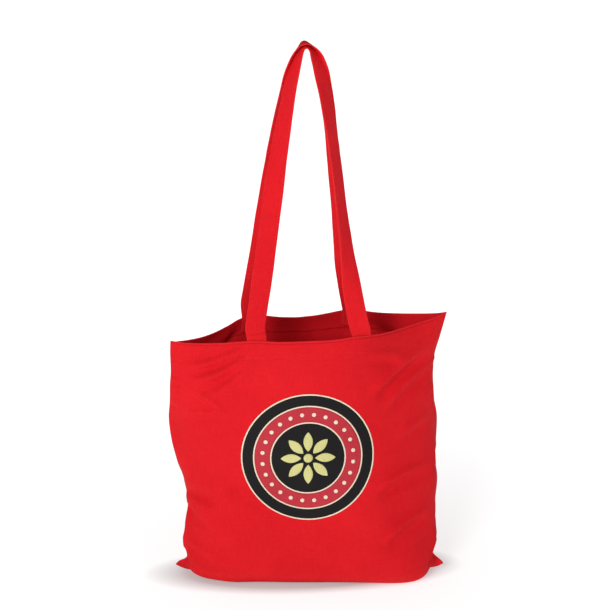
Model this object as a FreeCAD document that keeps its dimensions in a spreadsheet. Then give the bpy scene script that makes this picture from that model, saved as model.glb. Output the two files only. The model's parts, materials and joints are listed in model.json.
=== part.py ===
import FreeCAD
import Part
import Sketcher
import math
import os

# A foldable cotton tote bag, standing open on its flat base. X runs to the wearer's right along the
# mouth, -Y is the printed front, +Z is up. The origin is on the floor under the middle of the bag.
#
# The bag is two cloth panels joined at the sides and at the base. At every height the cloth follows
# two circular arcs, one per panel, which meet at the side seams: "half" is half the distance between
# the seams, and "sag" is how far the arc stands out from the seam line.

os.makedirs("parts", exist_ok=True)
doc = FreeCAD.newDocument("tote_bag")

DIMENSIONS = {
    # heights up the bag, with the half width and the sag of the cloth there
    "base_level": 0, "base_half": 150, "base_sag": 66,
    "toe_level": 7, "toe_half": 157, "toe_sag": 70,
    "low_level": 40, "low_half": 161, "low_sag": 74,
    "belly_level": 110, "belly_half": 166, "belly_sag": 76,
    "upper_level": 215, "upper_half": 169, "upper_sag": 73,
    "hem_level": 312, "hem_half": 175.5, "hem_sag": 61,
    "mouth_level": 338, "mouth_half": 177.5, "mouth_sag": 58,
    # cloth, thread and ink thicknesses
    "cloth": 1.0, "thread": 0.4, "thread_width": 0.8, "ink": 0.15,
    # the corner ears, where the flat bag's corners stand out past the filled base
    "ear_reach": 174, "ear_tip_level": 9, "ear_top_level": 26, "ear_root": 1, "ear_top_width": 4,
    # seam allowances, folded inside
    "allowance": 8, "seam_play": 2.2, "bottom_seam_half": 140,
    # webbing handles
    "strap_width": 25, "strap_thickness": 2.2, "strap_spacing": 133,
    "hinge_offset": 50, "hinge_level": 348, "apex_offset": 14, "apex_level": 704.5, "apex_shift": 2,
    "sewn_depth": 23, "end_play": 1.35, "end_tip": 0.4,
    # where a sewn end starts turning, above the mouth, and is square to the bag, below the hinge
    "end_turn_start": 1, "end_turn_stop": 5.5,
    # cross-stitched box that holds each handle end
    "box_size": 21, "box_foot_level": 315,
    "hem_row_level": 314.5,
    # round print on the front
    "badge_level": 185, "badge_radius": 85, "badge_line": 1.7,
    "rose_outer": 68.3, "rose_inner": 48.4, "dot_radius": 2.6, "dot_count": 24,
    "leaf_length": 26, "leaf_bulge": 6, "leaf_start": 9, "leaf_count": 8, "bud_radius": 6,
    # care label, sewn into the left side seam
    "label_length": 32, "label_height": 42, "label_thickness": 0.4, "label_level": 235,
    "label_play": 0.5,
}

sheet = doc.addObject("Spreadsheet::Sheet", "dims")
for row, (alias, number) in enumerate(DIMENSIONS.items(), start=1):
    sheet.set(f"A{row}", alias)
    sheet.set(f"B{row}", str(number))
    sheet.setAlias(f"B{row}", alias)
doc.recompute()

FRONT, BACK = -1, 1
SIDE_NAMES = {FRONT: "front", BACK: "back"}
HANDS = {"left": -1, "right": 1}
CUTTER_REACH = 120  # how far the bodies that cut shapes out of the wall reach from the seam line
LEG_STEPS = 14  # sections up each leg of a handle
LEG_LEAN, LEG_RISE, SHOULDER_REACH = 18, 125, 33  # how each leg of a handle curves up to the top
UP = FreeCAD.Vector(0, 0, 1)
nodes = []


def dim(alias):
    """The value of one cell of the sheet."""
    return float(sheet.get(alias))


def value(expression):
    """What an expression over the sheet's cells comes to."""
    return float(sheet.evalExpression(expression))


def keep(obj, label):
    """Names a finished sub-part, which is written out under that name."""
    obj.Label = label
    nodes.append(obj)
    return obj


# ---- sketches ----------------------------------------------------------------------------------

def origin_plane(body, role):
    return next(f for f in body.Origin.OriginFeatures if f.Role == role)


def new_sketch(body, name, role="XY_Plane"):
    sketch = body.newObject("Sketcher::SketchObject", name)
    sketch.AttachmentSupport = [(origin_plane(body, role), "")]
    sketch.MapMode = "FlatFace"
    return sketch


def bind(sketch, constraint, expression):
    """Adds a constraint and ties its value to the sheet."""
    index = sketch.addConstraint(constraint)
    sketch.setExpression(f"Constraints[{index}]", expression)


def level_at(name):
    """Height, half width and sag of the cloth at a named level, as expressions."""
    return tuple(f"dims.{name}_{kind}" for kind in ("level", "half", "sag"))


def add_arc(sketch, side, half, sag):
    """One cloth arc from seam to seam, bulging to the given side; half and sag are expressions."""
    reach, depth = value(half), value(sag)
    left, right = FreeCAD.Vector(-reach, 0, 0), FreeCAD.Vector(reach, 0, 0)
    ends = (left, right) if side == FRONT else (right, left)
    arc = sketch.addGeometry(Part.Arc(ends[0], FreeCAD.Vector(0, side * depth, 0), ends[1]))
    first, last = (1, 2) if side == FRONT else (2, 1)
    sketch.addConstraint(Sketcher.Constraint("PointOnObject", arc, 1, -1))
    sketch.addConstraint(Sketcher.Constraint("Symmetric", arc, 1, arc, 2, -2))
    bind(sketch, Sketcher.Constraint("DistanceX", arc, first, arc, last, 2 * reach), f"2 * ({half})")
    radius = f"(({half})^2 + ({sag})^2) / (2 * ({sag}))"
    bind(sketch, Sketcher.Constraint("Radius", arc, value(radius)), radius)
    return arc, left, right, first, last


def crescent_sketch(body, name, side, level, outer, inner):
    """The section of a layer of the wall at one level, between two offsets from the cloth's face."""
    height, half, sag = level
    sketch = new_sketch(body, name)
    sketch.setExpression("AttachmentOffset.Base.z", height)
    rims = [add_arc(sketch, side, f"{half} + {gap}", f"{sag} + {gap}") for gap in (outer, inner)]
    (big, big_left, big_right, big_first, big_last), (small, left, right, first, last) = rims
    closers = ((big_left, left, big_first, first), (big_right, right, big_last, last))
    for big_end, small_end, big_point, small_point in closers:
        line = sketch.addGeometry(Part.LineSegment(big_end, small_end))
        sketch.addConstraint(Sketcher.Constraint("Coincident", line, 1, big, big_point))
        sketch.addConstraint(Sketcher.Constraint("Coincident", line, 2, small, small_point))
    return sketch


def rectangle_sketch(body, name, width, depth, role="XY_Plane"):
    """A rectangle centred on the sketch's origin; width and depth are expressions."""
    x, y = value(width) / 2, value(depth) / 2
    sketch = new_sketch(body, name, role)
    corners = [FreeCAD.Vector(*p, 0) for p in ((-x, -y), (x, -y), (x, y), (-x, y))]
    for start, end in zip(corners, corners[1:] + corners[:1]):
        sketch.addGeometry(Part.LineSegment(start, end))
    for line in range(4):
        sketch.addConstraint(Sketcher.Constraint("Coincident", line, 2, (line + 1) % 4, 1))
        sketch.addConstraint(Sketcher.Constraint("Vertical" if line % 2 else "Horizontal", line))
    sketch.addConstraint(Sketcher.Constraint("Symmetric", 0, 1, 1, 2, -1, 1))
    bind(sketch, Sketcher.Constraint("DistanceX", 0, 1, 0, 2, 2 * x), width)
    bind(sketch, Sketcher.Constraint("DistanceY", 1, 1, 1, 2, 2 * y), depth)
    return sketch


def add_loft(body, name, sketches):
    loft = body.newObject("PartDesign::AdditiveLoft", name)
    loft.Profile = sketches[0]
    loft.Sections = sketches[1:]
    loft.Ruled = True
    return loft


# ---- the cloth ---------------------------------------------------------------------------------

def layer(name, side, levels, outer, inner):
    """A body that follows the wall of the bag between two offsets from the cloth's outer face."""
    body = doc.addObject("PartDesign::Body", name)
    sketches = [
        crescent_sketch(body, f"{name}_{level}", side, level_at(level), outer, inner)
        for level in levels
    ]
    add_loft(body, f"{name}_loft", sketches)
    return body


def add_base(body, name, side):
    """The half of the flat base that belongs to this panel."""
    sketch = new_sketch(body, f"{name}_base_sketch")
    arc, left, right, first, last = add_arc(sketch, side, "dims.base_half", "dims.base_sag")
    line = sketch.addGeometry(Part.LineSegment(left, right))
    sketch.addConstraint(Sketcher.Constraint("Coincident", line, 1, arc, first))
    sketch.addConstraint(Sketcher.Constraint("Coincident", line, 2, arc, last))
    pad = body.newObject("PartDesign::Pad", f"{name}_base")
    pad.Profile = sketch
    pad.setExpression("Length", "dims.cloth")


def add_ear(body, name, side, hand):
    """A flat cloth ear at one lower corner; hand is -1 on the left and 1 on the right."""
    low, high = dim("cloth") / 2, dim("ear_top_level")
    foot = dim("base_half") - dim("ear_root")
    shoulder = dim("low_half") - dim("ear_root")
    tip = (dim("ear_reach"), dim("ear_tip_level"))
    outline = ((foot, low), tip, (shoulder, high), (shoulder - dim("ear_top_width"), high))
    corners = [FreeCAD.Vector(hand * x, z, 0) for x, z in outline]
    sketch = new_sketch(body, f"{name}_ear_sketch_{hand + 1}", "XZ_Plane")
    for start, end in zip(corners, corners[1:] + corners[:1]):
        sketch.addGeometry(Part.LineSegment(start, end))
    for line in range(4):
        sketch.addConstraint(Sketcher.Constraint("Coincident", line, 2, (line + 1) % 4, 1))
    ear = body.newObject("PartDesign::Pad", f"{name}_ear_{hand + 1}")
    ear.Profile = sketch
    ear.Reversed = side == BACK
    ear.setExpression("Length", "dims.cloth")


def make_panel(side):
    name = f"{SIDE_NAMES[side]}_panel"
    levels = ("base", "toe", "low", "belly", "upper", "hem", "mouth")
    body = layer(name, side, levels, "0", "-dims.cloth")
    add_base(body, name, side)
    for hand in (-1, 1):
        add_ear(body, name, side, hand)
    keep(body, name)


def make_hem(side):
    """The turned-in top edge, a second layer of cloth inside the mouth."""
    name = f"{SIDE_NAMES[side]}_hem"
    keep(layer(name, side, ("hem", "mouth"), "-dims.cloth", "-2 * dims.cloth"), name)


def make_side_seam(name, hand):
    """Both panels' seam allowances, overlocked together and standing inside the side seam."""
    body = doc.addObject("PartDesign::Body", name)
    sketches = []
    for level in ("low", "belly", "upper", "hem"):
        height, half, _ = level_at(level)
        sketch = rectangle_sketch(body, f"{name}_{level}", "dims.allowance", "2 * dims.cloth")
        inset = f"{half} - dims.seam_play - dims.allowance / 2"
        sketch.setExpression("AttachmentOffset.Base.x", f"{hand} * ({inset})")
        sketch.setExpression("AttachmentOffset.Base.z", height)
        sketches.append(sketch)
    add_loft(body, f"{name}_loft", sketches)
    keep(body, name)


def make_bottom_seam():
    """The base's seam allowances, turned to the back and lying on the floor of the bag."""
    box = doc.addObject("Part::Box", "bottom_seam_box")
    box.setExpression("Length", "2 * dims.bottom_seam_half")
    box.setExpression("Width", "dims.allowance")
    box.setExpression("Height", "2 * dims.cloth")
    box.setExpression("Placement.Base.x", "-dims.bottom_seam_half")
    box.setExpression("Placement.Base.z", "dims.cloth")
    keep(box, "bottom_seam")


# ---- thread ------------------------------------------------------------------------------------

def bar(name, side, length, height, x, z, tilt=0):
    """A bar that reaches through one wall along Y, centred on x and z and tilted about there."""
    box = doc.addObject("Part::Box", name)
    box.setExpression("Length", length)
    box.setExpression("Height", height)
    box.Width = CUTTER_REACH
    turn = FreeCAD.Rotation(FreeCAD.Vector(0, 1, 0), tilt)
    start_y = -CUTTER_REACH if side == FRONT else 0
    corner = turn.multVec(FreeCAD.Vector(value(length) / 2, 0, value(height) / 2))
    box.Placement = FreeCAD.Placement(FreeCAD.Vector(x, start_y, z) - corner, turn)
    return box


def join(kind, name, first, second):
    """A Part::Cut or Part::Common of two objects."""
    result = doc.addObject(kind, name)
    result.Base, result.Tool = first, second
    return result


def fuse(name, shapes):
    result = doc.addObject("Part::MultiFuse", name)
    result.Shapes = shapes
    return result


def make_hem_stitching(side, skin):
    """One row of thread round the mouth, through the foot of the hem."""
    label = f"{SIDE_NAMES[side]}_hem_stitching"
    tool = bar(f"{label}_bar", side, "2 * dims.mouth_half", "dims.thread_width", 0, dim("hem_row_level"))
    keep(join("Part::Common", f"{label}_row", skin, tool), label)


def make_box_stitching(side, skin, hand, x):
    """A square of thread with both diagonals, through which a handle end is sewn to the wall."""
    label = f"{SIDE_NAMES[side]}_{hand}_box_stitching"
    z = dim("box_foot_level") + dim("box_size") / 2
    inside = "dims.box_size - 2 * dims.thread_width"
    diagonal = "(dims.box_size - dims.thread_width) * sqrt(2)"
    outer = bar(f"{label}_outer", side, "dims.box_size", "dims.box_size", x, z)
    inner = bar(f"{label}_inner", side, inside, inside, x, z)
    frame = join("Part::Cut", f"{label}_frame", outer, inner)
    rising = bar(f"{label}_rising", side, diagonal, "dims.thread_width", x, z, -45)
    falling = bar(f"{label}_falling", side, diagonal, "dims.thread_width", x, z, 45)
    pattern = fuse(f"{label}_pattern", [frame, rising, falling])
    keep(join("Part::Common", f"{label}_rows", skin, pattern), label)


# ---- the print ---------------------------------------------------------------------------------

def disc(name, radius):
    """A cylinder along -Y through the front wall, centred on the badge; radius is an expression."""
    cylinder = doc.addObject("Part::Cylinder", name)
    cylinder.setExpression("Radius", radius)
    cylinder.Height = CUTTER_REACH
    turn = FreeCAD.Rotation(FreeCAD.Vector(1, 0, 0), 90)
    cylinder.Placement = FreeCAD.Placement(FreeCAD.Vector(0, 0, dim("badge_level")), turn)
    return cylinder


def ring(name, outer, inner):
    return join("Part::Cut", name, disc(f"{name}_outer", outer), disc(f"{name}_inner", inner))


def repeated(name, sketch_outline, count):
    """A body whose sketched outline, drawn beside the badge's centre, is repeated round it."""
    body = doc.addObject("PartDesign::Body", name)
    sketch = new_sketch(body, f"{name}_sketch", "XZ_Plane")
    sketch_outline(sketch)
    pad = body.newObject("PartDesign::Pad", f"{name}_pad")
    pad.Profile = sketch
    pad.Length = CUTTER_REACH
    pattern = body.newObject("PartDesign::PolarPattern", f"{name}_pattern")
    pattern.Originals = [pad]
    pattern.Axis = (origin_plane(body, "Y_Axis"), [""])
    pattern.Angle = 360
    pattern.setExpression("Occurrences", count)
    body.Tip = pattern
    body.Placement = FreeCAD.Placement(FreeCAD.Vector(0, 0, dim("badge_level")), FreeCAD.Rotation())
    return body


def leaf_outline(sketch):
    """Two equal arcs between the leaf's foot and its tip."""
    start, end = dim("leaf_start"), dim("leaf_start") + dim("leaf_length")
    foot, tip = FreeCAD.Vector(0, start, 0), FreeCAD.Vector(0, end, 0)
    for hand, ends in ((1, (foot, tip)), (-1, (tip, foot))):
        belly = FreeCAD.Vector(hand * dim("leaf_bulge"), (start + end) / 2, 0)
        sketch.addGeometry(Part.Arc(ends[0], belly, ends[1]))
    sketch.addConstraint(Sketcher.Constraint("Coincident", 0, 1, 1, 2))
    sketch.addConstraint(Sketcher.Constraint("Coincident", 0, 2, 1, 1))


def dot_outline(sketch):
    """One round dot, midway across the rose ring."""
    middle = (dim("rose_outer") + dim("rose_inner")) / 2
    dot = sketch.addGeometry(Part.Circle(FreeCAD.Vector(0, middle, 0), UP, dim("dot_radius")))
    bind(sketch, Sketcher.Constraint("Radius", dot, dim("dot_radius")), "dims.dot_radius")


def make_print():
    """Four inks: a black disc under everything, and the other three side by side on top of it."""
    levels = ("low", "belly", "upper", "hem")
    under = layer("ink_under", FRONT, levels, "dims.ink", "0")
    over = layer("ink_over", FRONT, levels, "2 * dims.ink", "dims.ink")
    line = "dims.badge_line"
    dots = repeated("dots", dot_outline, "dims.dot_count")
    leaves = repeated("leaves", leaf_outline, "dims.leaf_count")
    cream_tool = fuse("cream_tool", [
        ring("outer_line", "dims.badge_radius", f"dims.badge_radius - {line}"),
        ring("upper_line", f"dims.rose_outer + {line}", "dims.rose_outer"),
        ring("lower_line", "dims.rose_inner", f"dims.rose_inner - {line}"),
        dots,
    ])
    rose_ring = ring("rose_ring", "dims.rose_outer", "dims.rose_inner")
    rose_tool = join("Part::Cut", "rose_tool", rose_ring, dots)
    green_tool = fuse("green_tool", [leaves, disc("bud", "dims.bud_radius")])
    keep(join("Part::Common", "black_ink", under, disc("badge", "dims.badge_radius")), "print_black")
    keep(join("Part::Common", "cream_ink", over, cream_tool), "print_cream")
    keep(join("Part::Common", "rose_ink", over, rose_tool), "print_rose")
    keep(join("Part::Common", "green_ink", over, green_tool), "print_green")


# ---- the handles -------------------------------------------------------------------------------

def wall_offset(x):
    """How far inside the hem the middle of a handle end lies, from the seam line, at x."""
    half, sag = dim("mouth_half"), dim("mouth_sag")
    radius = (half**2 + sag**2) / (2 * sag)
    face = math.sqrt(radius**2 - x**2) - (radius - sag)
    tangent = math.asin(x / radius)
    inset = 2 * dim("cloth") + dim("strap_thickness") / 2
    return face - inset / math.cos(tangent), math.degrees(tangent)


def make_sewn_end(side, hand, x):
    """The end of a handle, sewn flat inside the hem. Its top turns square to the bag and thins
    towards the inside, so that the free part of the handle can fold outwards over it."""
    label = f"{SIDE_NAMES[side]}_handle_{hand}_end"
    body = doc.addObject("PartDesign::Body", label)
    offset, tangent = wall_offset(x)
    hinge, tip = dim("hinge_offset"), dim("end_tip")
    thick = dim("strap_thickness")
    thinned = hinge - (thick - tip) / 2
    sections = [
        ("dims.mouth_level - dims.sewn_depth", "dims.strap_thickness", offset, -side * tangent),
        ("dims.mouth_level + dims.end_turn_start", "dims.strap_thickness", offset, -side * tangent),
        ("dims.hinge_level - dims.end_turn_stop", "dims.strap_thickness", hinge, 0),
        ("dims.hinge_level - dims.end_play", "dims.end_tip", thinned, 0),
    ]
    sketches = []
    for number, (height, thickness, y, turn) in enumerate(sections):
        sketch = rectangle_sketch(body, f"{label}_{number}", "dims.strap_width", thickness)
        spin = FreeCAD.Rotation(UP, turn)
        sketch.AttachmentOffset = FreeCAD.Placement(FreeCAD.Vector(x, side * y, 0), spin)
        sketch.setExpression("AttachmentOffset.Base.z", height)
        sketches.append(sketch)
    add_loft(body, f"{label}_loft", sketches)
    keep(body, label)


def bezier(points, t):
    """A point of a cubic Bezier curve and the direction of travel there."""
    a, b, c, d = points
    u = 1 - t
    place = a * u**3 + b * (3 * u * u * t) + c * (3 * u * t * t) + d * t**3
    along = (b - a) * (3 * u * u) + (c - b) * (6 * u * t) + (d - c) * (3 * t * t)
    return place, along


def leg_sections(side, hand, foot_x):
    """Centre, width direction and thickness direction up one leg, from the hinge to the top.

    The width lies along X at the hinge and turns a quarter on the way, so that it lies along Y
    where the handle passes over the top, with the strap's outer face up."""
    foot_z, top_z = dim("hinge_level"), dim("apex_level")
    foot = FreeCAD.Vector(foot_x, 0, foot_z)
    rise = FreeCAD.Vector(foot_x - hand * LEG_LEAN, 0, foot_z + LEG_RISE)
    apex = FreeCAD.Vector(dim("apex_shift"), 0, top_z)
    shoulder = apex + FreeCAD.Vector(hand * SHOULDER_REACH, 0, 0)
    depth = FreeCAD.Vector(0, 1, 0)
    sections = []
    for step in range(LEG_STEPS + 1):
        centre, along = bezier((foot, rise, shoulder, apex), step / LEG_STEPS)
        if step == 0:
            along = UP
        share = (centre.z - foot_z) / (top_z - foot_z)
        offset = dim("hinge_offset") + (dim("apex_offset") - dim("hinge_offset")) * share
        centre.y = side * offset
        twist = math.pi / 2 * share * share * (3 - 2 * share)
        along.normalize()
        across = depth.cross(along) * -hand
        width = across * math.cos(twist) + depth * (side * math.sin(twist))
        sections.append((centre, width, along.cross(width) * -hand))
    return sections


def section_wire(centre, width, thickness):
    half_width = width * (dim("strap_width") / 2)
    half_thickness = thickness * (dim("strap_thickness") / 2)
    signs = ((1, 1), (-1, 1), (-1, -1), (1, -1), (1, 1))
    return Part.makePolygon([centre + half_width * a + half_thickness * b for a, b in signs])


def make_handle(side, left_x, right_x):
    """The free part of a handle, which swings on the hinge line along the tops of its sewn ends."""
    label = f"{SIDE_NAMES[side]}_handle"
    left = leg_sections(side, -1, left_x)
    right = leg_sections(side, 1, right_x)
    sections = left + right[-2::-1]
    shape = Part.makeLoft([section_wire(*section) for section in sections], True, True)
    for centre in (left[0][0], right[0][0]):
        end = centre - FreeCAD.Vector(dim("strap_width") / 2, 0, 0)
        round_end = Part.makeCylinder(dim("strap_thickness") / 2, dim("strap_width"), end,
                                      FreeCAD.Vector(1, 0, 0))
        shape = shape.fuse(round_end)
    handle = doc.addObject("Part::Feature", f"{label}_shape")
    handle.Shape = shape
    keep(handle, label)


# ---- the care label ----------------------------------------------------------------------------

def make_care_label():
    """A tab of satin tape that stands out of the left side seam, inside the bag."""
    seam_edge = "dims.upper_half - dims.seam_play - dims.allowance"
    box = doc.addObject("Part::Box", "care_label_box")
    box.setExpression("Length", "dims.label_length")
    box.setExpression("Width", "dims.label_thickness")
    box.setExpression("Height", "dims.label_height")
    box.setExpression("Placement.Base.x", f"-({seam_edge}) + dims.label_play")
    box.setExpression("Placement.Base.y", "-dims.label_thickness / 2")
    box.setExpression("Placement.Base.z", "dims.label_level")
    keep(box, "care_label")


# ---- build, check and write --------------------------------------------------------------------

for side in (FRONT, BACK):
    make_panel(side)
    make_hem(side)
make_side_seam("left_side_seam", -1)
make_side_seam("right_side_seam", 1)
make_bottom_seam()
for side in (FRONT, BACK):
    thread_skin = layer(f"{SIDE_NAMES[side]}_thread", side, ("hem", "mouth"), "dims.thread", "0")
    make_hem_stitching(side, thread_skin)
    feet = {hand: sign * dim("strap_spacing") / 2 for hand, sign in HANDS.items()}
    for hand, foot_x in feet.items():
        make_sewn_end(side, hand, foot_x)
        make_box_stitching(side, thread_skin, hand, foot_x)
    make_handle(side, feet["left"], feet["right"])
make_print()
make_care_label()
doc.recompute()

for obj in doc.Objects:
    if "Invalid" in obj.State or "Error" in obj.State:
        raise RuntimeError(f"{obj.Name} failed: {obj.State}")
for node in nodes:
    shape = node.Shape
    if shape.isNull() or not shape.isValid() or not shape.Solids:
        raise RuntimeError(f"{node.Label} is not a valid solid")
    shape.exportStep(f"parts/{node.Label}.step")
    box = shape.BoundBox
    print(f"{node.Label:28s} solids {len(shape.Solids):3d}  volume {shape.Volume:10.1f} mm3  "
          f"x {box.XMin:.1f}..{box.XMax:.1f}  y {box.YMin:.1f}..{box.YMax:.1f}  "
          f"z {box.ZMin:.1f}..{box.ZMax:.1f}")
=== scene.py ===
import json
import math
from functools import partial

import bmesh
import bpy
import numpy as np
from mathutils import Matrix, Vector
from mathutils.bvhtree import BVHTree


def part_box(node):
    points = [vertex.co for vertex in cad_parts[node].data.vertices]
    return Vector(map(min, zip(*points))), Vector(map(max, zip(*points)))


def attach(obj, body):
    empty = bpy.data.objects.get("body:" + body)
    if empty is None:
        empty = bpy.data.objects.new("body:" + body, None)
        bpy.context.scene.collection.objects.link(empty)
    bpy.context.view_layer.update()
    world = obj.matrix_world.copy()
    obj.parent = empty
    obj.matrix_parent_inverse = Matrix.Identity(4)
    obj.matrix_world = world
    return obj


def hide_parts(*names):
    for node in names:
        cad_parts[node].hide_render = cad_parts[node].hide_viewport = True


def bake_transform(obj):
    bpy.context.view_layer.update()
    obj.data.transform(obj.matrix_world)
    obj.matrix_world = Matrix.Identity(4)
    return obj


# A red cotton shopper with two long handles and a round print, standing open and empty.
# Metres, Z up, -Y towards the printed front. "u" runs across the flat cut from the left side
# seam to the right one, and "v" up it from the bottom seam, in metres of flat cloth. Both are
# kept as UVs, so the weave, the print and every row of stitches follow the cloth.

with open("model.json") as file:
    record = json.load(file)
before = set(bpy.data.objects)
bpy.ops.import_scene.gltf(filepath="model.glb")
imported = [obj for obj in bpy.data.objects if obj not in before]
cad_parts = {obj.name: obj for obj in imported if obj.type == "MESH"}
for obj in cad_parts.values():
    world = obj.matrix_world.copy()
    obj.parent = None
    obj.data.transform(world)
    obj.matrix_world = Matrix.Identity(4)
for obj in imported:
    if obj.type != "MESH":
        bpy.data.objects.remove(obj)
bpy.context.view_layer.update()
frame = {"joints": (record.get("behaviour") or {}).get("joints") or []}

MM = 0.001
FRONT, BACK = -1, 1
SIDE_NAMES = {FRONT: "front", BACK: "back"}
SQUARE = ((-1, -1), (1, -1), (1, 1), (-1, 1))

# ---- sizes: the cut of the cloth, and places read from the CAD frame ----

FLAT_WIDTH, FLAT_HEIGHT = 0.390, 0.405  # one panel, seam to seam and bottom seam to mouth
CELL = 0.005  # spacing of the simulated cloth's points
COLUMNS, ROWS = round(FLAT_WIDTH / CELL), round(FLAT_HEIGHT / CELL)
CLOTH = 0.8 * MM
HEM_DEPTH = 25 * MM
STRAP_WIDTH = 25 * MM

MOUTH_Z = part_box("front_hem")[1].z
HINGE = {j["child"]: Vector(j["pos_m"]) for j in frame["joints"]}
HINGE_Z = HINGE["front_handle"].z
# The top of the loop: how high its middle line is, how far it is to the right, and how far out
# from the middle each handle's own top is.
APEX_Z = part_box("front_handle")[1].z - 4.5 * MM
APEX_X, APEX_OFFSET = 2 * MM, 3 * MM


def strap_feet(side):
    """X of the middle of a handle's two sewn ends, left then right."""
    boxes = [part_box(f"{SIDE_NAMES[side]}_handle_{hand}_end") for hand in ("left", "right")]
    return [(low.x + high.x) / 2 for low, high in boxes]


def distances(points):
    """Distance travelled along a line of points, at each of them."""
    steps = np.linalg.norm(np.diff(points, axis=0), axis=1)
    return np.concatenate([[0], np.cumsum(steps)])


def sample(at, marks, table):
    """The rows of a table, interpolated from their marks to any others."""
    return np.stack([np.interp(at, marks, column) for column in table.T], -1)


def smoothstep(value, low, high):
    t = np.clip((value - low) / (high - low), 0, 1)
    return t * t * (3 - 2 * t)


def unit(vectors):
    return vectors / np.maximum(np.linalg.norm(vectors, axis=-1, keepdims=True), 1e-12)


# ---- the form that the bag is filled out to ----

# Up the middle of a panel: height, and distance out from the bottom seam.
PROFILE = np.array([
    [0.0015, 0.0000], [0.0010, 0.0200], [0.0010, 0.0430], [0.0025, 0.0530], [0.0080, 0.0600],
    [0.0160, 0.0628], [0.0300, 0.0645], [0.0850, 0.0665], [0.1345, 0.0695], [0.1840, 0.0710],
    [0.2335, 0.0690], [0.2830, 0.0645], [0.3380, 0.0590],
])
PROFILE_MARKS = distances(PROFILE)
MIDDLE = np.column_stack([PROFILE_MARKS * FLAT_HEIGHT / PROFILE_MARKS[-1], PROFILE])
# Up the side seams: distance along the cloth, height, and reach to the left and to the right.
SEAMS = np.array([
    [0.000, 0.0130, -0.170, 0.182], [0.010, 0.0180, -0.168, 0.180], [0.020, 0.0230, -0.160, 0.173],
    [0.030, 0.0280, -0.159, 0.171], [0.045, 0.0360, -0.163, 0.173], [0.070, 0.0500, -0.165, 0.175],
    [0.085, 0.0620, -0.161, 0.174], [0.110, 0.0830, -0.156, 0.174], [0.137, 0.1070, -0.149, 0.175],
    [0.165, 0.1310, -0.158, 0.176], [0.190, 0.1520, -0.165, 0.176], [0.235, 0.1930, -0.174, 0.178],
    [0.258, 0.2140, -0.176, 0.177], [0.275, 0.2290, -0.176, 0.171], [0.310, 0.2570, -0.175, 0.170],
    [0.350, 0.2900, -0.173, 0.173], [0.405, 0.3380, -0.171, 0.188],
])
# How square the bag is in plan: 2 is a plain arc from seam to seam, and more is boxier.
BOXINESS = np.array([
    [0.00, 3.4], [0.04, 7.5], [0.08, 6.4], [0.12, 4.2], [0.16, 3.2], [0.22, 2.6], [0.405, 2.1],
])
BACK_BOXINESS = 0.45  # how much of that squareness the back has
PLAN_FULLNESS = 0.92
# How suddenly the cloth rises from the middle to a seam, at two distances up the cloth.
RISE_AT, RISE_POWERS = (0.08, 0.20), (17, 3)
# The side seams buckle to and fro, which takes up the length that the middle spends on the base.
BUCKLE, BUCKLE_LENGTH = 8 * MM, 0.112
BUCKLE_START, BUCKLE_END = (0.03, 0.08), (0.33, 0.38)
# The base stands turned a little from the mouth, its right end forward, with both lower corners
# drawn further forward.
BASE_TURN, BASE_FORWARD, EAR_FORWARD = 0.120, 0.008, {-1: 0.024, 1: 0.009}
BASE_TOP, BASE_FADE = 0.08, 0.26
EAR_TOP, EAR_FADE = 0.03, 0.15
# The mouth is drawn askew: its left corner hangs forward and down, its right one back and up.
CORNER_SHIFT = {-1: Vector((0, -0.026, -0.008)), 1: Vector((0, 0.016, 0.007))}
SKEW_START = 0.17
FORM_SAMPLES = 801  # points along one row of the form, before they are evened out


def smooth_interp(v, table, column):
    """A smooth curve through one column of a table, over its first column."""
    nodes = np.linspace(table[0, 0], table[-1, 0], ROWS + 1)
    values = np.interp(nodes, table[:, 0], table[:, column])
    before, after = 2 * values[0] - values[2:0:-1], 2 * values[-1] - values[-2:-4:-1]
    padded = np.concatenate([before, values, after])
    values = np.convolve(padded, np.array([1, 3, 4, 3, 1]) / 12, "valid")
    return float(np.interp(v, nodes, values))


def form_row(side, v, count, inset=0.0):
    """Evenly spaced points across one panel of the form, from the left seam to the right one."""
    z_middle, depth = (smooth_interp(v, MIDDLE, k) for k in (1, 2))
    z_seam, left, right = (smooth_interp(v, SEAMS, k) for k in (1, 2, 3))
    boxiness = smooth_interp(v, BOXINESS, 1)
    if side == BACK:
        boxiness = 2 + (boxiness - 2) * BACK_BOXINESS
    left, right, depth = left + inset, right - inset, max(depth - inset, 0)
    across = np.linspace(-1, 1, FORM_SAMPLES)
    x = (left + right) / 2 + across * (right - left) / 2
    y = side * depth * (1 - np.abs(across)**boxiness)**PLAN_FULLNESS
    z = z_middle + (z_seam - z_middle) * np.abs(across)**np.interp(v, RISE_AT, RISE_POWERS)
    buckled = smoothstep(v, *BUCKLE_START) * (1 - smoothstep(v, *BUCKLE_END))
    y = y + BUCKLE * buckled * np.sin(2 * math.pi * v / BUCKLE_LENGTH + across) * np.abs(across)**5
    turned = 1 - smoothstep(v, BASE_TOP, BASE_FADE)
    y = y - turned * (BASE_FORWARD + BASE_TURN * x)
    ears = np.where(across < 0, EAR_FORWARD[-1], EAR_FORWARD[1])
    y = y - ears * (1 - smoothstep(v, EAR_TOP, EAR_FADE)) * np.abs(across)**4
    skew = np.clip((v - SKEW_START) / (FLAT_HEIGHT - SKEW_START), 0, 1)**2
    for hand, shift in CORNER_SHIFT.items():
        share = skew * np.clip(hand * across, 0, 1)**2.2
        y = y + shift.y * share
        z = z + shift.z * share
    points = np.stack([x, y, z], -1)
    travelled = distances(points)
    return sample(np.linspace(0, travelled[-1], count), travelled, points)


# ---- cloth simulation ----

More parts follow.
